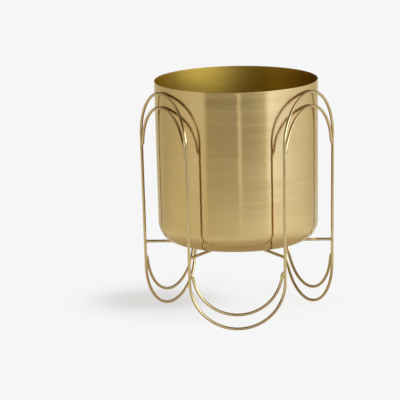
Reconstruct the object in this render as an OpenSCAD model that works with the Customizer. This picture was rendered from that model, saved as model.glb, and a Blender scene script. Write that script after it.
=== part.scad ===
// Round metal pot standing loose in a six-legged stand of bent and welded wire.
// Millimetres. The origin is on the floor under the middle of the stand,
// +Z is up and the front of the stand faces -Y.

/* [Pot] */
// Outer diameter of the pot across its rim
pot_d = 200; // [160:1:240]
// Height of the pot from its base to its rim
pot_h = 199.3; // [150:0.1:260]
// How much smaller the pot's radius is at the base than at the rim
pot_taper = 2.1; // [0.5:0.1:6]
// Outer radius of the round corner between wall and base
corner_r = 24.5; // [15:0.5:40]
// Thickness of the pot's sheet metal
pot_wall = 0.8; // [0.6:0.1:1.5]
// Height of the pot's base above the floor
pot_base_z = 91.7; // [84:0.1:140]

/* [Stand] */
// Diameter of the stand's wire
wire_d = 3.5; // [2.5:0.1:4.5]
// Angle in degrees by which two legs under one arch spread towards their tops
leg_spread = 0.8; // [0:0.2:2]
// Height of the rim above the tops of the arches
rim_over_arch = 7; // [3:0.2:20]
// Drop from the crown of an arch to the crown of the arch inside it
arch_step = 17.4; // [10:0.2:24]
// Rise from the bottom of a foot bow to the bottom of the bow inside it
bow_step = 17.4; // [10:0.2:20]

/* [Under the pot] */
// Radius of the hub ring, to the middle of its wire
hub_r = 12; // [8:1:20]

/* [Hidden] */

// Facets of the wire's section, of its bends and of the pot
wire_fn = 24;
bend_fn = 96;
pot_fn = 144;

// Free space between the pot's base and the spokes, and between rim and arches
seat_gap = 0.3;
arch_gap = 0.45;
// Weld metal between two wires that lie side by side
weld_film = 0.05;
// Depth to which a spoke's end bites into the wire that it is welded to
weld_bite = 0.5;

// Six legs stand at the corners of a hexagon
half_side = 180 / 6;
wire_r = wire_d / 2;
pot_r = pot_d / 2;

// Centre line of the wire at the crown of an arch and at the bottom of a foot bow
crown_z = pot_base_z + pot_h - rim_over_arch - wire_r;
sole_z = wire_r;

// Two neighbouring legs share a flat face of the stand, which leans outward.
// The face's distance from the middle is taken at the floor.
splay = leg_spread / 2;
face_tilt = asin(tan(splay) / tan(half_side));
face_r = pot_r + arch_gap + wire_r - crown_z * tan(face_tilt);
leg_r = face_r / cos(half_side);
leg_lean = atan(tan(face_tilt) / cos(half_side));

// Half the distance between two legs, at a distance up along their face
function half_span(up) = (face_r + up * sin(face_tilt)) * tan(half_side);
// Radius of the bend that meets both legs, or both wires lying an inset inside them
function arch_r(crown, inset) = (half_span(crown) * cos(splay) - inset) / (1 + sin(splay));
function bow_r(sole, inset) = (half_span(sole) * cos(splay) - inset) / (1 - sin(splay));

inset = wire_d + weld_film;
crown_up = crown_z / cos(face_tilt);
sole_up = sole_z / cos(face_tilt);
outer_arch_r = arch_r(crown_up, 0);
inner_arch_r = arch_r(crown_up - arch_step, inset);
outer_bow_r = bow_r(sole_up, 0);
inner_bow_r = bow_r(sole_up + bow_step, inset);

// Straight length of a leg, between the arch and the foot bow
leg_top_up = crown_up - outer_arch_r * (1 + sin(splay));
leg_foot_up = sole_up + outer_bow_r * (1 - sin(splay));
leg_length = (leg_top_up - leg_foot_up) / cos(splay);

// Pot outline: its wall leans by wall_lean and meets the corner's arc smoothly
wall_lean = atan(pot_taper / pot_h);
wall_out = [cos(wall_lean), -sin(wall_lean)];
wall_up = [sin(wall_lean), cos(wall_lean)];
base_flat_r = pot_r - pot_taper + corner_r * tan(wall_lean) - corner_r / cos(wall_lean);
corner_centre = [base_flat_r, corner_r];
lip_r = pot_wall / 2;
wall_length = (pot_h - lip_r - corner_r + (corner_r - lip_r) * sin(wall_lean)) / cos(wall_lean);
// Point of the wall at a depth under its outside and at a length above the corner
function wall_point(set_in, along) = corner_centre + (corner_r - set_in) * wall_out + along * wall_up;

// Spokes: level under the base, from the hub ring out to the legs
spoke_z = pot_base_z - seat_gap - wire_r;
spoke_start_x = hub_r + wire_r - weld_bite;
spoke_end_x = leg_r + spoke_z * tan(leg_lean) - wire_r + weld_bite;

// Half of the pot's outline, filled, set in from the outside by an amount.
// Its top is cut square to the wall, at a length along the wall.
module pot_outline(set_in, wall_end) {
    foot = wall_point(set_in, 0);
    top = wall_point(set_in, wall_end);
    polygon([
        [0, set_in],
        [base_flat_r, set_in],
        foot,
        top,
        [0, top[1] + top[0] * tan(wall_lean)]
    ]);
    translate(corner_centre)
        circle(r = corner_r - set_in, $fn = pot_fn);
}

// The pot is one drawn shell with a plain, rounded edge at its rim
module pot() {
    color("darkkhaki")
    translate([0, 0, pot_base_z])
        rotate_extrude($fn = pot_fn) {
            difference() {
                pot_outline(0, wall_length);
                pot_outline(pot_wall, wall_length + 1);
            }
            translate(wall_point(lip_r, wall_length))
                circle(r = lip_r, $fn = wire_fn);
        }
}

// Puts a shape drawn flat on one face of the stand, at that face's direction
module on_face(direction) {
    rotate([0, 0, direction])
        translate([face_r, 0, 0])
            rotate([0, face_tilt, 0])
                children();
}

// Wire bent round a centre on the face, starting from straight down
module wire_bend(bend_r, centre_up, from, sweep) {
    translate([0, 0, centre_up])
        rotate([0, 90, 0])
            rotate([0, 0, from])
                rotate_extrude(angle = sweep, $fn = bend_fn)
                    translate([bend_r, 0])
                        circle(r = wire_r, $fn = wire_fn);
}

// Straight wire of one leg, from the end of the arch down to the foot bow
module leg_wire() {
    translate([0, 0, crown_up - outer_arch_r])
        rotate([-splay, 0, 0])
            translate([0, outer_arch_r, -leg_length])
                cylinder(h = leg_length, r = wire_r, $fn = wire_fn);
}

// Arch over the top of a face
module arch(bend_r, crown) {
    wire_bend(bend_r, crown - bend_r, 90 - splay, 180 + 2 * splay);
}

// Bow under the bottom of a face
module bow(bend_r, sole) {
    wire_bend(bend_r, sole + bend_r, splay - 90, 180 - 2 * splay);
}

// One hairpin of wire: a leg, the arch over the face and the next leg
module arch_wire(direction) {
    color("burlywood")
    on_face(direction)
        union() {
            arch(outer_arch_r, crown_up);
            leg_wire();
            mirror([0, 1, 0])
                leg_wire();
        }
}

// Smaller arch, welded to the inner sides of the two legs
module inner_arch(direction) {
    color("burlywood")
    on_face(direction)
        arch(inner_arch_r, crown_up - arch_step);
}

// Bow that joins the lower ends of two legs and stands on the floor
module foot_bow(direction) {
    color("burlywood")
    on_face(direction)
        bow(outer_bow_r, sole_up);
}

// Smaller bow, welded to the inner sides of the two legs
module inner_bow(direction) {
    color("burlywood")
    on_face(direction)
        bow(inner_bow_r, sole_up + bow_step);
}

// Ring under the middle of the pot that the six spokes are welded to
module hub_ring() {
    color("burlywood")
    translate([0, 0, spoke_z])
        rotate_extrude($fn = bend_fn)
            translate([hub_r, 0])
                circle(r = wire_r, $fn = wire_fn);
}

// Straight spoke from the hub ring to one leg, with both ends shaped to the wire they meet
module spoke(direction) {
    color("burlywood")
    rotate([0, 0, direction])
        difference() {
            translate([spoke_start_x, 0, spoke_z])
                rotate([0, 90, 0])
                    cylinder(h = spoke_end_x - spoke_start_x, r = wire_r, $fn = wire_fn);
            translate([leg_r, 0, 0])
                rotate([0, leg_lean, 0])
                    cylinder(h = crown_z, r = wire_r, $fn = wire_fn);
            hub_ring();
        }
}

pot();
arch_wire(-150);  // arch_wire_left
arch_wire(-30);  // arch_wire_right
arch_wire(90);  // arch_wire_rear
inner_arch(-150);  // inner_arch_left
inner_arch(-30);  // inner_arch_right
inner_arch(90);  // inner_arch_rear
foot_bow(-90);  // foot_bow_front
foot_bow(150);  // foot_bow_rear_left
foot_bow(30);  // foot_bow_rear_right
inner_bow(-90);  // inner_bow_front
inner_bow(150);  // inner_bow_rear_left
inner_bow(30);  // inner_bow_rear_right
spoke(180);  // spoke_left
spoke(-120);  // spoke_front_left
spoke(-60);  // spoke_front_right
spoke(0);  // spoke_right
spoke(60);  // spoke_rear_right
spoke(120);  // spoke_rear_left
hub_ring();
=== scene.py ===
"""Looks for a brushed brass plant pot that stands loose in a welded wire stand.

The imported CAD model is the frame. This script adds the camera, the studio and the finishes, a fine
shell for the pot, inner arches and bows with ground ends, and the weld beads that join the wires.
All lengths are in metres. The front of the object faces -Y.
"""

import math

import bmesh
import bpy
from mathutils import Matrix, Vector


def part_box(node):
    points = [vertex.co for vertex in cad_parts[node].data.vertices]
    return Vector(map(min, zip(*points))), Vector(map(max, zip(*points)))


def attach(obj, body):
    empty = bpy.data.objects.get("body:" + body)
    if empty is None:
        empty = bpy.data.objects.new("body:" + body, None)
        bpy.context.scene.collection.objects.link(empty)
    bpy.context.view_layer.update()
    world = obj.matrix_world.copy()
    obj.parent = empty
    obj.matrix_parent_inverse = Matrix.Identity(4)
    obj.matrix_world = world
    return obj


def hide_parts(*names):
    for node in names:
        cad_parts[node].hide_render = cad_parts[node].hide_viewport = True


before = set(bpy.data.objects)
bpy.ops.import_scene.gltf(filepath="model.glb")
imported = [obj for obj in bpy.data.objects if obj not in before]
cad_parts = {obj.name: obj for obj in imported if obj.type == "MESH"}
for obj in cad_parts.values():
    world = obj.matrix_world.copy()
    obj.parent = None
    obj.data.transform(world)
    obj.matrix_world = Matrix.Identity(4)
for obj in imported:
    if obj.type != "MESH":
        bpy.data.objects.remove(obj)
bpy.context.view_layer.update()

# The object's own sizes, read from the frame
pot_low, pot_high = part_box("pot")
hub_low, hub_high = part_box("hub_ring")
arch_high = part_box("arch_wire_rear")[1]
POT_R = (pot_high.x - pot_low.x) / 2
POT_H = pot_high.z - pot_low.z
WIRE_R = (hub_high.z - hub_low.z) / 2
SPOKE_Z = (hub_high.z + hub_low.z) / 2
HUB_R = (hub_high.x - hub_low.x) / 2 - WIRE_R

# Sizes of the pot that the frame's boxes don't give
POT_TAPER = 0.0021
CORNER_R = 0.0245
POT_WALL = 0.0008

# Sizes of the stand that they don't give: half the angle between two legs, the gap between rim and
# arches, the steps from outer to inner arches and bows, and the weld metal between two wires
SPLAY = math.radians(0.4)
ARCH_GAP = 0.00045
ARCH_STEP = 0.0174
BOW_STEP = 0.0174
WELD_FILM = 0.00005
INSET = 2 * WIRE_R + WELD_FILM

# Six legs stand at the corners of a hexagon; two neighbours share a face that leans outward
HALF_SIDE = math.radians(30)
FACE_TILT = math.asin(math.tan(SPLAY) / math.tan(HALF_SIDE))
CROWN_Z = arch_high.z - WIRE_R
FACE_R = POT_R + ARCH_GAP + WIRE_R - CROWN_Z * math.tan(FACE_TILT)
LEG_LEAN = math.atan(math.tan(FACE_TILT) / math.cos(HALF_SIDE))
ARCH_FACES = {"left": -150, "right": -30, "rear": 90}
BOW_FACES = {"front": -90, "rear_left": 150, "rear_right": 30}
LEG_DIRECTIONS = range(0, 360, 60)

# Ground ends of the inner arches and bows: how long the ground part is, how far its tip is turned
# onto the leg, and the share of its radius that is ground off at the tip
GROUND_LENGTH = 0.0055
GROUND_SHIFT = 0.0028
GROUND_OFF = 0.5

# Weld beads in the groove at a ground end: distance from the tip, and half their width, height and length
BEAD_FROM_TIP = 0.0050
BEAD_SIZES = (0.0011, 0.0014, 0.0030)
BEAD_WOBBLE = 0.05

# Weld collars at the ends of a spoke: their start, in radii of the wire they meet, their length, the
# radius of their thin end and the swell of their thick end, in radii of the spoke
COLLAR_START = 0.8
COLLAR_LENGTH = 0.0026
COLLAR_THIN = 0.97
LEG_COLLAR_SWELL = 0.42
HUB_COLLAR_SWELL = 0.35

# The camera as the photograph has it
CAMERA_AT = Vector((0.0825, -3.6485, 0.8998))
CAMERA_YAW = -0.0354
CAMERA_PITCH = -0.2050
CAMERA_ROLL = -0.0194
CAMERA_LENS_MM = 272.7
CAMERA_SENSOR_MM = 36.0

# Brushed lines of the pot: how much the pattern changes round the pot, and up the wall in a metre
LINE_TURN = 1.2
LINE_RISE = 900.0
# The same pattern stretched to bands of several lines, and to broad bands a centimetre high
BAND_STRETCH = (0.4, 0.4, 0.06)
BROAD_STRETCH = (0.5, 0.5, 0.11)
# Parts of the patterns' range that are spread over the whole change in look
LINE_RANGE = (0.3, 0.7)
BROAD_RANGE = (0.36, 0.64)
ROUGH_RANGE = (0.7, 1.3)
# Share of the bands in the mix of lines and bands, and their height beside that of the lines
BAND_SHARE = 0.45
BAND_HEIGHT = 0.6
# Colours of dark and light lines beside the base colour, and change in roughness between them
DARK_LINE = (0.93, 0.91, 0.86)
LIGHT_LINE = (1.04, 1.05, 1.1)
ROUGH_CHANGE = 0.07
GRAIN_STRENGTH = 0.35
# A quarter turn, so that highlights are drawn out across the lines
ACROSS_LINES = 0.25
# Light taken away by the broad bands, from the dullest to the brightest
BROAD_DULL = (0.07, -0.035)

# Front part of the pot, where the broad bands darken it most: half its angle, and half the angle over
# which it fades
FRONT_SPAN = math.radians(20.5)
FRONT_EDGE = math.radians(3)
# Darker ring there: depth of its middle under the rim, and the distances from there over which it fades
RING_DROP = 0.0148
RING_FADE = (0.003, 0.0084)
# Strength of the ring in dark and in light bands
RING_BANDS = (1.4, 0.6)

# Wire: colours of its mottling, range of the pattern, share of the coarse pattern in it, roughness,
# and strength and depth of its fine grain
WIRE_DARK = (0.57, 0.465, 0.27, 1)
WIRE_LIGHT = (0.66, 0.555, 0.35, 1)
WIRE_RANGE = (0.35, 0.65)
MOTTLE_SHARE = 0.6
WIRE_ROUGHNESS = (0.12, 0.18)
WIRE_GRAIN_STRENGTH = 0.15
WIRE_GRAIN_DEPTH = 0.00003
# Painted shade on the wire next to the pot's wall, where shade falls: colours on the left and right, the
# places between which it changes, its strength, how far a side has to face the pot, and the heights over
# which it starts
PAINTED_SHADE_LEFT = (0.29, 0.13, 0.004, 1)
PAINTED_SHADE_RIGHT = (0.42, 0.21, 0.025, 1)
PAINTED_SHADE_CHANGE = (-0.05, 0.03)
PAINTED_SHADE_STRENGTH = 0.93
PAINTED_SHADE_FACING = (0.0, 0.7)
PAINTED_SHADE_START = (0.10, 0.13)

WHITE = (1.0, 1.0, 1.0, 1)
# Background level behind the object, on the linear scale where 1 is white
BACKGROUND = 0.921

# Floor: its radius, its colour in the shadow, and how strongly the shadow shows
FLOOR_R = 0.8
FLOOR_TONE = (0.65, 0.65, 0.65, 1)
SHADOW_STRENGTH = 0.31
# The shadow lies round one point and is deepest round another; it fades over two distances, and
# distances from front to back count for more
SHADOW_MIDDLE = (-0.04, 0.06)
SHADOW_FADE = (0.12, 0.20)
CORE_MIDDLE = (-0.105, 0.063)
CORE_FADE = (0.03, 0.11)
OUTSIDE_CORE = 0.30
DEPTH_STRETCH = 1.3
# The floor as the metal mirrors it glows, with a painted shadow under the pot: levels under the pot and
# further out, and the radii between them
MIRRORED_SHADOW_LEVELS = (0.50, 0.86)
MIRRORED_FADE = (0.05, 0.35)
# Its painted light dims towards the back over the same distances, and brightens from its left side to its
# right one
BEHIND_LEVELS = (1.0, 0.78)
SIDE_LEVELS = (0.90, 1.08)
FLOOR_SIDE = 0.4
# Its colours, brown under the pot as painted shade tinted by the brass, and the radii over which the brown
# ends
BROWN_FADE = (0.08, 0.30)
FLOOR_SHADOW_BROWN = (1.0, 0.80, 0.50, 1)
FLOOR_LEFT = (1.0, 0.91, 0.64, 1)
FLOOR_RIGHT = (1.0, 0.96, 0.82, 1)

# Height that the lamp points at
LAMP_AIM = 0.18

# Brightness of the studio's walls by bearing in degrees: 0 is the camera's side, 90 is the right
WALL_LEVELS = [
    # Grey wall behind and on the left
    (-180, 0.70), (-165, 0.61), (-120, 0.57),
    # Pale card on the front left
    (-62, 0.79), (-46, 0.77),
    # Dark wall round the camera
    (-41, 0.44), (-1, 0.36), (22, 0.36), (32, 0.43), (41, 0.56),
    # White card on the front right
    (46, 1.00), (51, 1.12), (60, 1.04), (70, 1.00),
    # Pale wall on the right, grey again behind
    (90, 0.91), (120, 0.80), (145, 0.60), (165, 0.70), (180, 0.70),
]
# Light that a narrow slot in the dark wall adds, and its share above the slot
SLOT_LEVELS = [(-180, 0.0), (1.5, 0.0), (4.0, 0.60), (6.0, 0.60), (9.0, 0.0), (180, 0.0)]
ABOVE_SLOT = 0.3
# Upper part of the studio: dark on the left and behind, with one large bright card on the right
UPPER_LEVELS = [
    (-180, 0.10), (-60, 0.03), (-40, 0.24), (-14, 0.85), (5, 1.50), (24, 2.80), (46, 4.10), (75, 3.70),
    (100, 1.60), (130, 0.40), (180, 0.10),
]
# Ceiling: pale on the left and on the right, and dark over the camera
TOP_LEVELS = [
    (-180, 0.20), (-165, 0.40), (-145, 0.50), (-125, 0.50), (-105, 0.55), (-62, 0.50), (-45, 0.06),
    (-10, 0.05), (30, 0.14), (60, 0.45), (100, 0.45), (140, 0.20), (180, 0.20),
]
# Rise of a direction, from 0 for level to 1 for straight up, where the slot ends and where the upper
# part and the ceiling begin
SLOT_END = (-0.22, -0.12)
UPPER_START = (0.0, 0.11)
TOP_START = (0.28, 0.50)
# Dark parts of the room are brown, lighter ones are cream, and its lit cards are white; one colour goes
# over into the next between two levels
ROOM_BROWN = (1.0, 0.60, 0.28, 1)
ROOM_CREAM = (1.0, 0.89, 0.61, 1)
BROWN_LEVELS = (0.10, 0.35)
CREAM_LEVELS = (0.70, 1.0)


def add_camera():
    """Long lens, a little above the rim, looking slightly down."""
    level = Vector((math.sin(CAMERA_YAW), math.cos(CAMERA_YAW), 0))
    forward = level * math.cos(CAMERA_PITCH) + Vector((0, 0, math.sin(CAMERA_PITCH)))
    right = forward.cross(Vector((0, 0, 1))).normalized()
    up = right.cross(forward)
    tilt = Matrix.Rotation(-CAMERA_ROLL, 3, forward)
    axes = Matrix((right, up, -forward)).transposed()
    data = bpy.data.cameras.new("camera")
    data.lens = CAMERA_LENS_MM
    data.sensor_width = CAMERA_SENSOR_MM
    data.clip_start = 0.1
    data.clip_end = 100
    camera = bpy.data.objects.new("camera", data)
    camera.matrix_world = Matrix.Translation(CAMERA_AT) @ (tilt @ axes).to_4x4()
    bpy.context.scene.collection.objects.link(camera)
    bpy.context.scene.camera = camera


class Nodes:
    """Short way to write a node tree: every call adds a node and links its inputs."""

    # Places of a mixer's two colours and of its result
    FIRST_COLOUR = 6
    SECOND_COLOUR = 7
    MIXED_COLOUR = 2

    def __init__(self, tree):
        self.tree = tree
        tree.nodes.clear()

    def add(self, kind, inputs=None, **settings):
        """New node; each input is another node's output or a plain value."""
        node = self.tree.nodes.new(kind)
        for name, value in settings.items():
            setattr(node, name, value)
        for name, value in (inputs or {}).items():
            socket = node.inputs[name]
            if isinstance(value, bpy.types.NodeSocket):
                self.tree.links.new(value, socket)
            else:
                socket.default_value = value
        return node

    def math(self, operation, a, b=0.0):
        return self.add("ShaderNodeMath", {0: a, 1: b}, operation=operation).outputs[0]

    def hypot(self, a, b):
        squares = self.math("ADD", self.math("MULTIPLY", a, a), self.math("MULTIPLY", b, b))
        return self.math("SQRT", squares)

    def between(self, share, low, high):
        """Number that goes from low to high as the share goes from 0 to 1."""
        rest = self.math("SUBTRACT", 1.0, share)
        return self.math("ADD", self.math("MULTIPLY", low, rest), self.math("MULTIPLY", high, share))

    def vector(self, operation, a, b=(0, 0, 0), scale=1.0):
        """Vector that an operation gives, or the number for a length or a dot product."""
        node = self.add("ShaderNodeVectorMath", {0: a, 1: b, 3: scale}, operation=operation)
        return node.outputs["Value" if operation in ("LENGTH", "DOT_PRODUCT") else "Vector"]

    def separate(self, vector):
        return self.add("ShaderNodeSeparateXYZ", {0: vector}).outputs

    def combine(self, x=0.0, y=0.0, z=0.0):
        return self.add("ShaderNodeCombineXYZ", {"X": x, "Y": y, "Z": z}).outputs[0]

    def blend(self, factor, a, b):
        """Mixes two colours."""
        inputs = {"Factor": factor, self.FIRST_COLOUR: a, self.SECOND_COLOUR: b}
        return self.add("ShaderNodeMix", inputs, data_type="RGBA").outputs[self.MIXED_COLOUR]

    def remap(self, value, low, high, to_low=0.0, to_high=1.0, smooth=False):
        kind = "SMOOTHSTEP" if smooth else "LINEAR"
        inputs = {"Value": value, "From Min": low, "From Max": high, "To Min": to_low, "To Max": to_high}
        return self.add("ShaderNodeMapRange", inputs, interpolation_type=kind).outputs["Result"]

    def noise(self, vector, scale, detail, roughness):
        inputs = {"Vector": vector, "Scale": scale, "Detail": detail, "Roughness": roughness}
        return self.add("ShaderNodeTexNoise", inputs).outputs["Fac"]

    def glow(self, colour, strength):
        return self.add("ShaderNodeEmission", {"Color": colour, "Strength": strength}).outputs[0]

    def mix_shaders(self, factor, a, b):
        return self.add("ShaderNodeMixShader", {0: factor, 1: a, 2: b}).outputs[0]

    def sees_background(self):
        """1 for the camera's rays and for those through clear materials, and 0 for all others."""
        path = self.add("ShaderNodeLightPath").outputs
        return self.math("MAXIMUM", path["Is Camera Ray"], path["Is Transmission Ray"])


def new_material(name):
    material = bpy.data.materials.new(name)
    material.use_nodes = True
    return material, Nodes(material.node_tree)


def add_metal(nodes, inputs):
    """Metal with the given inputs, as the material's surface."""
    shader = nodes.add("ShaderNodeBsdfPrincipled", {"Metallic": 1.0, **inputs})
    nodes.add("ShaderNodeOutputMaterial", {"Surface": shader.outputs[0]})


def tinted(base, factors):
    """Colour made from a base by one factor for each of its channels."""
    return (*[channel * factor for channel, factor in zip(base, factors)], 1)


def brass_pot(name, base, roughness, anisotropy, grain_depth, fray, calm, ring_dim):
    """Brass sheet with fine lines that run round the pot.

    fray is how far the lines turn the sheet, calm is the strength of the broad bands away from the
    front, and the last argument is the light that the darker ring under the rim takes away.
    """
    material, nodes = new_material(name)
    parts = nodes.separate(nodes.add("ShaderNodeTexCoord").outputs["Object"])
    turn = nodes.math("ARCTAN2", parts["Y"], parts["X"])
    radius = nodes.hypot(parts["X"], parts["Y"])
    # Fine lines: quick changes up the wall and along the radius, slow ones round the pot
    across = nodes.combine(
        nodes.math("MULTIPLY", nodes.math("SINE", turn), LINE_TURN),
        nodes.math("MULTIPLY", nodes.math("COSINE", turn), LINE_TURN),
        nodes.math("MULTIPLY", nodes.math("ADD", parts["Z"], radius), LINE_RISE),
    )
    lines = nodes.noise(across, scale=2.0, detail=4.0, roughness=0.7)
    # Bands of several lines, and broad ones that fade in and out round the pot
    across_bands = nodes.vector("MULTIPLY", across, BAND_STRETCH)
    bands = nodes.noise(across_bands, scale=1.4, detail=3.0, roughness=0.6)
    across_broad = nodes.vector("MULTIPLY", across, BROAD_STRETCH)
    broad = nodes.noise(across_broad, scale=1.0, detail=2.0, roughness=0.6)
    mix = nodes.between(BAND_SHARE, lines, bands)
    brushed = nodes.blend(nodes.remap(mix, *LINE_RANGE), tinted(base, DARK_LINE), tinted(base, LIGHT_LINE))
    # At the front the broad bands darken the sheet more, and a darker ring lies under the rim
    off_front = nodes.math("ABSOLUTE", nodes.math("ADD", turn, math.pi / 2))
    at_front = nodes.remap(off_front, FRONT_SPAN - FRONT_EDGE, FRONT_SPAN + FRONT_EDGE, 1.0, 0.0, smooth=True)
    dull = nodes.remap(broad, *BROAD_RANGE, *BROAD_DULL)
    dull = nodes.math("MULTIPLY", dull, nodes.remap(at_front, 0.0, 1.0, calm, 1.0))
    below_rim = nodes.math("SUBTRACT", pot_high.z, parts["Z"])
    off_ring = nodes.math("ABSOLUTE", nodes.math("SUBTRACT", below_rim, RING_DROP))
    mark = nodes.remap(off_ring, *RING_FADE, ring_dim, 0.0, smooth=True)
    mark = nodes.math("MULTIPLY", mark, nodes.remap(bands, *LINE_RANGE, *RING_BANDS))
    dull = nodes.math("ADD", dull, nodes.math("MULTIPLY", mark, at_front))
    colour = nodes.vector("SCALE", brushed, scale=nodes.math("SUBTRACT", 1.0, dull))
    least_rough = roughness * (1 - ROUGH_CHANGE)
    most_rough = roughness * (1 + ROUGH_CHANGE)
    rough = nodes.remap(nodes.math("ADD", lines, bands), *ROUGH_RANGE, least_rough, most_rough)
    bump = nodes.add("ShaderNodeBump", {
        "Height": nodes.math("ADD", lines, nodes.math("MULTIPLY", bands, BAND_HEIGHT)),
        "Strength": GRAIN_STRENGTH,
        "Distance": grain_depth,
    })
    # Each line turns the sheet a little to one side, and each broad band tips it a little
    around = nodes.vector("NORMALIZE", nodes.combine(nodes.math("MULTIPLY", parts["Y"], -1.0), parts["X"]))
    turned = nodes.vector("SCALE", around, scale=nodes.remap(mix, *LINE_RANGE, -fray, fray))
    tipped = nodes.combine(z=nodes.remap(broad, *BROAD_RANGE, -fray, fray))
    normal = nodes.vector("ADD", bump.outputs[0], nodes.vector("ADD", turned, tipped))
    add_metal(nodes, {
        "Base Color": colour,
        "Roughness": rough,
        "Anisotropic": anisotropy,
        "Anisotropic Rotation": ACROSS_LINES,
        "Normal": nodes.vector("NORMALIZE", normal),
        "Tangent": nodes.add("ShaderNodeTangent", direction_type="RADIAL", axis="Z").outputs[0],
    })
    return material


def brass_wire():
    """Drawn and plated wire: satin and faintly mottled, with brown painted shade on the sides next to the
    pot's wall.
    """
    material, nodes = new_material("brass_wire")
    place = nodes.add("ShaderNodeTexCoord").outputs["Object"]
    fine = nodes.noise(place, scale=900.0, detail=4.0, roughness=0.6)
    mottle = nodes.noise(place, scale=55.0, detail=3.0, roughness=0.55)
    mix = nodes.between(MOTTLE_SHARE, fine, mottle)
    plain = nodes.blend(nodes.remap(mix, *WIRE_RANGE), WIRE_DARK, WIRE_LIGHT)
    # Painted shade: the side that faces the pot, in the narrow gap next to its wall, is darkened to brown,
    # deeper on the left
    geometry = nodes.add("ShaderNodeNewGeometry").outputs
    inward = nodes.vector("NORMALIZE", nodes.vector("MULTIPLY", geometry["Position"], (-1, -1, 0)))
    facing = nodes.vector("DOT_PRODUCT", geometry["Normal"], inward)
    facing = nodes.remap(facing, *PAINTED_SHADE_FACING, smooth=True)
    parts = nodes.separate(geometry["Position"])
    painted_shade = nodes.math("MULTIPLY", facing, nodes.remap(parts["Z"], *PAINTED_SHADE_START, smooth=True))
    brown = nodes.blend(nodes.remap(parts["X"], *PAINTED_SHADE_CHANGE), PAINTED_SHADE_LEFT, PAINTED_SHADE_RIGHT)
    bump = nodes.add("ShaderNodeBump", {
        "Height": fine,
        "Strength": WIRE_GRAIN_STRENGTH,
        "Distance": WIRE_GRAIN_DEPTH,
    })
    add_metal(nodes, {
        "Base Color": nodes.blend(nodes.math("MULTIPLY", painted_shade, PAINTED_SHADE_STRENGTH), plain, brown),
        "Roughness": nodes.remap(mix, *WIRE_RANGE, *WIRE_ROUGHNESS),
        "Normal": bump.outputs[0],
    })
    return material


def mesh_piece(name, build, material, body):
    """New mesh object from a function that fills a bmesh; it rides on a body."""
    mesh = bpy.data.meshes.new(name)
    shape = bmesh.new()
    build(shape)
    bmesh.ops.recalc_face_normals(shape, faces=shape.faces)
    shape.to_mesh(mesh)
    shape.free()
    for face in mesh.polygons:
        face.use_smooth = True
    piece = bpy.data.objects.new(name, mesh)
    bpy.context.scene.collection.objects.link(piece)
    mesh.materials.append(material)
    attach(piece, body)
    return piece


def join_rings(shape, rings):
    """Faces between each ring of vertices and the next."""
    for low, high in zip(rings, rings[1:]):
        for i in range(len(low)):
            j = (i + 1) % len(low)
            shape.faces.new((low[i], low[j], high[j], high[i]))


def close_ring(shape, ring, tip):
    """Faces between a ring of vertices and one vertex at its middle."""
    for i in range(len(ring)):
        shape.faces.new((ring[i], ring[(i + 1) % len(ring)], tip))


def arc_points(centre, radius, start, end, count):
    """Points of an arc in the plane of radius and height, ends included."""
    step = (end - start) / (count - 1)
    angles = [start + step * i for i in range(count)]
    return [(centre[0] + radius * math.cos(a), centre[1] + radius * math.sin(a)) for a in angles]


def pot_profile():
    """Outline of the pot's sheet: up the outside, over the lip and down the inside."""
    lean = math.atan(POT_TAPER / POT_H)
    flat_r = POT_R - POT_TAPER + CORNER_R * math.tan(lean) - CORNER_R / math.cos(lean)
    lip_r = POT_WALL / 2
    length = (POT_H - lip_r - CORNER_R + (CORNER_R - lip_r) * math.sin(lean)) / math.cos(lean)
    centre = (flat_r, CORNER_R)

    def wall(set_in, along):
        r = centre[0] + (CORNER_R - set_in) * math.cos(lean) + along * math.sin(lean)
        z = centre[1] - (CORNER_R - set_in) * math.sin(lean) + along * math.cos(lean)
        return (r, z)

    wall_rows = 24
    floor_rows = 10
    corner_points = 24
    lip_points = 9
    # Narrow rows next to the bends keep the flat shading of the wall and of the floor
    narrow_wall = 0.0015
    narrow_floor = 0.01
    wall_steps = [narrow_wall] + [i / wall_rows for i in range(1, wall_rows)] + [1 - narrow_wall, 1]
    floor_steps = [i / floor_rows for i in range(1, floor_rows)] + [1 - narrow_floor]
    outside = [(flat_r * s, 0) for s in floor_steps]
    outside += arc_points(centre, CORNER_R, -math.pi / 2, -lean, corner_points)
    outside += [wall(0, length * s) for s in wall_steps]
    lip = arc_points(wall(lip_r, length), lip_r, -lean, math.pi - lean, lip_points)[1:-1]
    inside = [wall(POT_WALL, length * s) for s in reversed(wall_steps)]
    inside += arc_points(centre, CORNER_R - POT_WALL, -lean, -math.pi / 2, corner_points)
    inside += [(flat_r * s, POT_WALL) for s in reversed(floor_steps)]
    return outside + lip + inside


def build_pot(shape):
    """The profile turned round the pot's axis, closed under and over the floor's middle."""
    turns = 256
    base_z = pot_low.z
    rings = []
    for r, z in pot_profile():
        angles = [2 * math.pi * i / turns for i in range(turns)]
        rings.append([shape.verts.new((r * math.cos(a), r * math.sin(a), base_z + z)) for a in angles])
    join_rings(shape, rings)
    close_ring(shape, rings[0], shape.verts.new((0, 0, base_z)))
    close_ring(shape, rings[-1], shape.verts.new((0, 0, base_z + POT_WALL)))


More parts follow.
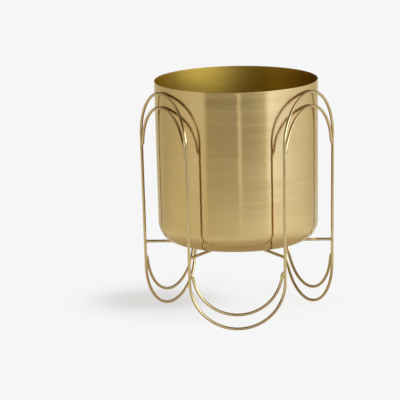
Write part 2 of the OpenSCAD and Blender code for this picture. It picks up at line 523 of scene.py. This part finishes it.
def add_pot():
    """Fine shell in place of the pot, bright outside and a darker satin inside whose base colour holds
    painted shade of the hollow.
    """
    outside = brass_pot(
        "brass_pot_outside", base=(0.70, 0.555, 0.305), roughness=0.14, anisotropy=1.0,
        grain_depth=0.00004, fray=0.012, calm=0.35, ring_dim=0.13,
    )
    # The inside's darker, browner base colour is partly its satin finish and partly painted shade and
    # bounce light of the pot's hollow
    inside = brass_pot(
        "brass_pot_inside", base=(0.63, 0.455, 0.09), roughness=0.36, anisotropy=0.72,
        grain_depth=0.00006, fray=0.0, calm=0.8, ring_dim=0.0,
    )
    piece = mesh_piece("pot_shell", build_pot, outside, "pot")
    piece.data.materials.append(inside)
    least_inward = 1e-6
    for face in piece.data.polygons:
        middle = face.center
        outward = face.normal.x * middle.x + face.normal.y * middle.y
        faces_inward = outward < -least_inward * math.hypot(middle.x, middle.y)
        faces_up = face.normal.z > 0.5
        if faces_inward or (faces_up and middle.z < pot_low.z + CORNER_R):
            face.material_index = 1
    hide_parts("pot")


def dress_frame():
    """Gives every wire of the CAD model the wire finish, and returns that finish."""
    wire = brass_wire()
    for name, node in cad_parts.items():
        if name == "pot":
            continue
        for place in node.material_slots:
            place.material = wire
    return wire


def on_face(direction, side, up):
    """Point of the stand's face at a direction in degrees, from its middle sideways and up the face."""
    turn = math.radians(direction)
    out = FACE_R + up * math.sin(FACE_TILT)
    x = out * math.cos(turn) - side * math.sin(turn)
    y = out * math.sin(turn) + side * math.cos(turn)
    return Vector((x, y, up * math.cos(FACE_TILT)))


def inner_bend(rise):
    """Radius and height of the centre of the inner arches, or of the inner bows.

    Here and below, rise is 1 for arches, whose tips point up, and -1 for bows.
    """
    tip_up = CROWN_Z / math.cos(FACE_TILT) - ARCH_STEP
    if rise < 0:
        tip_up = WIRE_R / math.cos(FACE_TILT) + BOW_STEP
    half_span = (FACE_R + tip_up * math.sin(FACE_TILT)) * math.tan(HALF_SIDE)
    bend_r = (half_span * math.cos(SPLAY) - INSET) / (1 + rise * math.sin(SPLAY))
    return bend_r, tip_up - rise * bend_r


def bend_point(rise, direction, radius, angle):
    """Point round the centre of an inner arch or bow, at a radius and at an angle from its tip."""
    centre_up = inner_bend(rise)[1]
    return on_face(direction, radius * math.sin(angle), centre_up + rise * radius * math.cos(angle))


def sweep(shape, points, radii):
    """Closed tube through points, with its own radius at each."""
    sides = 24
    ahead = (points[1] - points[0]).normalized()
    up = ahead.orthogonal().normalized()
    rings = []
    for i, (point, radius) in enumerate(zip(points, radii)):
        nearby = points[min(i + 1, len(points) - 1)] - points[max(i - 1, 0)]
        up = (up - nearby * up.dot(nearby) / nearby.length_squared).normalized()
        side = nearby.normalized().cross(up)
        ring = []
        for k in range(sides):
            a = 2 * math.pi * k / sides
            ring.append(shape.verts.new(point + side * math.cos(a) * radius + up * math.sin(a) * radius))
        rings.append(ring)
    join_rings(shape, rings)
    shape.faces.new(rings[0])
    shape.faces.new(rings[-1])


def bend_line(rise, direction):
    """Centre line and radii of an inner arch or bow, whose ends are ground into the legs."""
    bend_r = inner_bend(rise)[0]
    end = math.pi / 2 + rise * SPLAY
    steps = 120
    points = []
    radii = []
    for i in range(steps + 1):
        # Steps crowd towards the ends, where the wire is ground
        angle = end * math.sin(math.pi / 2 * (2 * i / steps - 1))
        to_end = bend_r * (end - abs(angle))
        ground = max(0.0, 1 - to_end / GROUND_LENGTH)
        points.append(bend_point(rise, direction, bend_r + GROUND_SHIFT * ground ** 1.5, angle))
        radii.append(WIRE_R * (1 - GROUND_OFF * ground ** 2))
    return points, radii


def bead(shape, centre, axes, sizes):
    """Ellipsoid of weld metal, a little uneven."""
    rows = 8
    turns = 14
    rings = []
    for i in range(1, rows):
        v = math.pi * i / rows
        ring = []
        for k in range(turns):
            u = 2 * math.pi * k / turns
            wobble = 1 + BEAD_WOBBLE * math.sin(3 * u + 2 * v)
            offset = (math.sin(v) * math.cos(u) * wobble, math.sin(v) * math.sin(u) * wobble, math.cos(v))
            point = centre.copy()
            for axis, size, share in zip(axes, sizes, offset):
                point += axis * size * share
            ring.append(shape.verts.new(point))
        rings.append(ring)
    join_rings(shape, rings)
    close_ring(shape, rings[0], shape.verts.new(centre + axes[2] * sizes[2]))
    close_ring(shape, rings[-1], shape.verts.new(centre - axes[2] * sizes[2]))


def groove_beads(shape, rise, direction):
    """Two beads, one in the groove between each ground end and its leg."""
    bend_r = inner_bend(rise)[0]
    turn = math.radians(direction)
    for side in (-1, 1):
        angle = side * (math.pi / 2 + rise * SPLAY - BEAD_FROM_TIP / bend_r)
        centre = bend_point(rise, direction, bend_r + INSET / 2, angle)
        inner = bend_point(rise, direction, bend_r, angle)
        across = (centre - inner).normalized()
        out = Vector((math.cos(turn), math.sin(turn), 0))
        out = (out - across * out.dot(across)).normalized()
        bead(shape, centre, (across, out, across.cross(out)), BEAD_SIZES)


def collar_line(direction, start, length, swell):
    """Centre line and radii of a weld collar on a spoke, thickest where it meets the other wire."""
    turn = math.radians(direction)
    ahead = Vector((math.cos(turn), math.sin(turn), 0))
    steps = 8
    points = []
    radii = []
    for i in range(steps + 1):
        s = i / steps
        points.append(ahead * (start + length * s) + Vector((0, 0, SPOKE_Z)))
        radii.append(WIRE_R * (COLLAR_THIN + swell * (1 - s) ** 2))
    return points, radii


def add_wires(wire):
    """Inner arches and bows with ground ends in place of the blunt ones, and the welds."""
    for rise, kind, faces in ((1, "inner_arch", ARCH_FACES), (-1, "inner_bow", BOW_FACES)):
        for name, direction in faces.items():
            def bend(shape):
                sweep(shape, *bend_line(rise, direction))
            piece = mesh_piece(f"{kind}_{name}_ground", bend, wire, "stand")
            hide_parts(f"{kind}_{name}")

    def grooves(shape):
        for direction in ARCH_FACES.values():
            groove_beads(shape, 1, direction)
        for direction in BOW_FACES.values():
            groove_beads(shape, -1, direction)
    mesh_piece("arch_and_bow_welds", grooves, wire, "stand")

    leg_r = FACE_R / math.cos(HALF_SIDE) + SPOKE_Z * math.tan(LEG_LEAN)
    leg_start = leg_r - WIRE_R * COLLAR_START
    hub_start = HUB_R + WIRE_R * COLLAR_START

    def spoke_ends(shape):
        for direction in LEG_DIRECTIONS:
            sweep(shape, *collar_line(direction, leg_start, -COLLAR_LENGTH, LEG_COLLAR_SWELL))
            sweep(shape, *collar_line(direction, hub_start, COLLAR_LENGTH, HUB_COLLAR_SWELL))
    mesh_piece("spoke_welds", spoke_ends, wire, "stand")


def near_point(nodes, parts, point, fade, outside):
    """1 near a point of the floor, and the outside value beyond the distances over which it fades."""
    across = nodes.math("SUBTRACT", parts["X"], point[0])
    along = nodes.math("MULTIPLY", nodes.math("SUBTRACT", parts["Y"], point[1]), DEPTH_STRETCH)
    return nodes.remap(nodes.hypot(across, along), *fade, 1.0, outside, smooth=True)


def floor_material():
    """Plain background level for the camera with the shadow in it, and glowing levels with painted shade
    and light for the metal.
    """
    material, nodes = new_material("pale_floor")
    place = nodes.add("ShaderNodeTexCoord").outputs["Object"]
    parts = nodes.separate(place)
    shadow = near_point(nodes, parts, SHADOW_MIDDLE, SHADOW_FADE, 0.0)
    core = near_point(nodes, parts, CORE_MIDDLE, CORE_FADE, OUTSIDE_CORE)
    diffuse = nodes.add("ShaderNodeBsdfDiffuse", {"Color": FLOOR_TONE}).outputs[0]
    plain = nodes.glow(WHITE, BACKGROUND)
    shaded = nodes.mix_shaders(SHADOW_STRENGTH, plain, diffuse)
    camera_look = nodes.mix_shaders(nodes.math("MULTIPLY", shadow, core), plain, shaded)
    # Seen in the metal, the floor glows with painted shade: darker and browner under the pot, dimmer
    # behind, brighter to the right
    radius = nodes.vector("LENGTH", place)
    rightward = nodes.remap(parts["X"], -FLOOR_SIDE, FLOOR_SIDE)
    outer = nodes.blend(rightward, FLOOR_LEFT, FLOOR_RIGHT)
    colour = nodes.blend(nodes.remap(radius, *BROWN_FADE), FLOOR_SHADOW_BROWN, outer)
    strength = nodes.remap(radius, *MIRRORED_FADE, *MIRRORED_SHADOW_LEVELS, smooth=True)
    behind = nodes.remap(parts["Y"], *MIRRORED_FADE, *BEHIND_LEVELS, smooth=True)
    strength = nodes.math("MULTIPLY", strength, behind)
    strength = nodes.math("MULTIPLY", strength, nodes.remap(rightward, 0.0, 1.0, *SIDE_LEVELS))
    surface = nodes.mix_shaders(nodes.sees_background(), nodes.glow(colour, strength), camera_look)
    nodes.add("ShaderNodeOutputMaterial", {"Surface": surface})
    return material


def add_floor():
    """Round pale floor."""
    corners = 96
    turn = 2 * math.pi / corners
    rim = [(FLOOR_R * math.cos(turn * i), FLOOR_R * math.sin(turn * i), 0) for i in range(corners)]
    mesh = bpy.data.meshes.new("floor")
    mesh.from_pydata(rim, [], [tuple(range(corners))])
    mesh.materials.append(floor_material())
    floor = bpy.data.objects.new("floor", mesh)
    bpy.context.scene.collection.objects.link(floor)


def curve_by_bearing(nodes, turn, levels):
    """Brightness as a curve over a full turn, straight between its points."""
    node = nodes.add("ShaderNodeFloatCurve", {"Value": turn})
    curve = node.mapping.curves[0]
    curve.points[0].location = (0, levels[0][1])
    curve.points[1].location = (1, levels[-1][1])
    for angle, level in levels[1:-1]:
        curve.points.new((angle + 180) / 360, level)
    for point in curve.points:
        point.handle_type = "VECTOR"
    node.mapping.update()
    return node.outputs[0]


def add_world():
    """Studio round the object: walls with cards, an upper part and a ceiling, each by bearing."""
    world = bpy.data.worlds.new("studio")
    bpy.context.scene.world = world
    world.use_nodes = True
    nodes = Nodes(world.node_tree)
    parts = nodes.separate(nodes.add("ShaderNodeTexCoord").outputs["Generated"])
    # Degrees to the right of the camera's side, from -180 to 180
    toward = nodes.math("MULTIPLY", parts["Y"], -1.0)
    bearing = nodes.math("MULTIPLY", nodes.math("ARCTAN2", parts["X"], toward), 180 / math.pi)
    turn = nodes.remap(bearing, -180, 180)
    slot_share = nodes.remap(parts["Z"], *SLOT_END, 1.0, ABOVE_SLOT)
    slot = nodes.math("MULTIPLY", curve_by_bearing(nodes, turn, SLOT_LEVELS), slot_share)
    walls = nodes.math("ADD", curve_by_bearing(nodes, turn, WALL_LEVELS), slot)
    upper_share = nodes.remap(parts["Z"], *UPPER_START, smooth=True)
    level = nodes.between(upper_share, walls, curve_by_bearing(nodes, turn, UPPER_LEVELS))
    top_share = nodes.remap(parts["Z"], *TOP_START, smooth=True)
    level = nodes.between(top_share, level, curve_by_bearing(nodes, turn, TOP_LEVELS))
    room = nodes.blend(nodes.remap(level, *BROWN_LEVELS), ROOM_BROWN, ROOM_CREAM)
    tint = nodes.blend(nodes.remap(level, *CREAM_LEVELS), room, WHITE)
    studio = nodes.add("ShaderNodeBackground", {"Color": tint, "Strength": level}).outputs[0]
    plain = nodes.add("ShaderNodeBackground", {"Color": WHITE, "Strength": BACKGROUND}).outputs[0]
    surface = nodes.mix_shaders(nodes.sees_background(), studio, plain)
    nodes.add("ShaderNodeOutputWorld", {"Surface": surface})


def add_lamp(name, bearing, elevation, distance, size, power):
    """Square soft box that faces the pot from a bearing and an elevation in degrees."""
    turn = math.radians(bearing)
    lift = math.radians(elevation)
    away = Vector((math.sin(turn) * math.cos(lift), -math.cos(turn) * math.cos(lift), math.sin(lift)))
    data = bpy.data.lights.new(name, "AREA")
    data.shape = "SQUARE"
    data.size = size
    data.energy = power
    lamp = bpy.data.objects.new(name, data)
    lamp.location = Vector((0, 0, LAMP_AIM)) + away * distance
    lamp.rotation_mode = "QUATERNION"
    lamp.rotation_quaternion = (-away).to_track_quat("-Z", "Y")
    # The metal mirrors the studio's walls; the lamp only lights the floor
    lamp.visible_glossy = False
    bpy.context.scene.collection.objects.link(lamp)


add_camera()
add_world()
add_floor()
add_lamp("key_box", bearing=66, elevation=42, distance=4.0, size=1.0, power=190.0)
add_wires(dress_frame())
add_pot()

bpy.context.scene.view_settings.view_transform = "Standard"
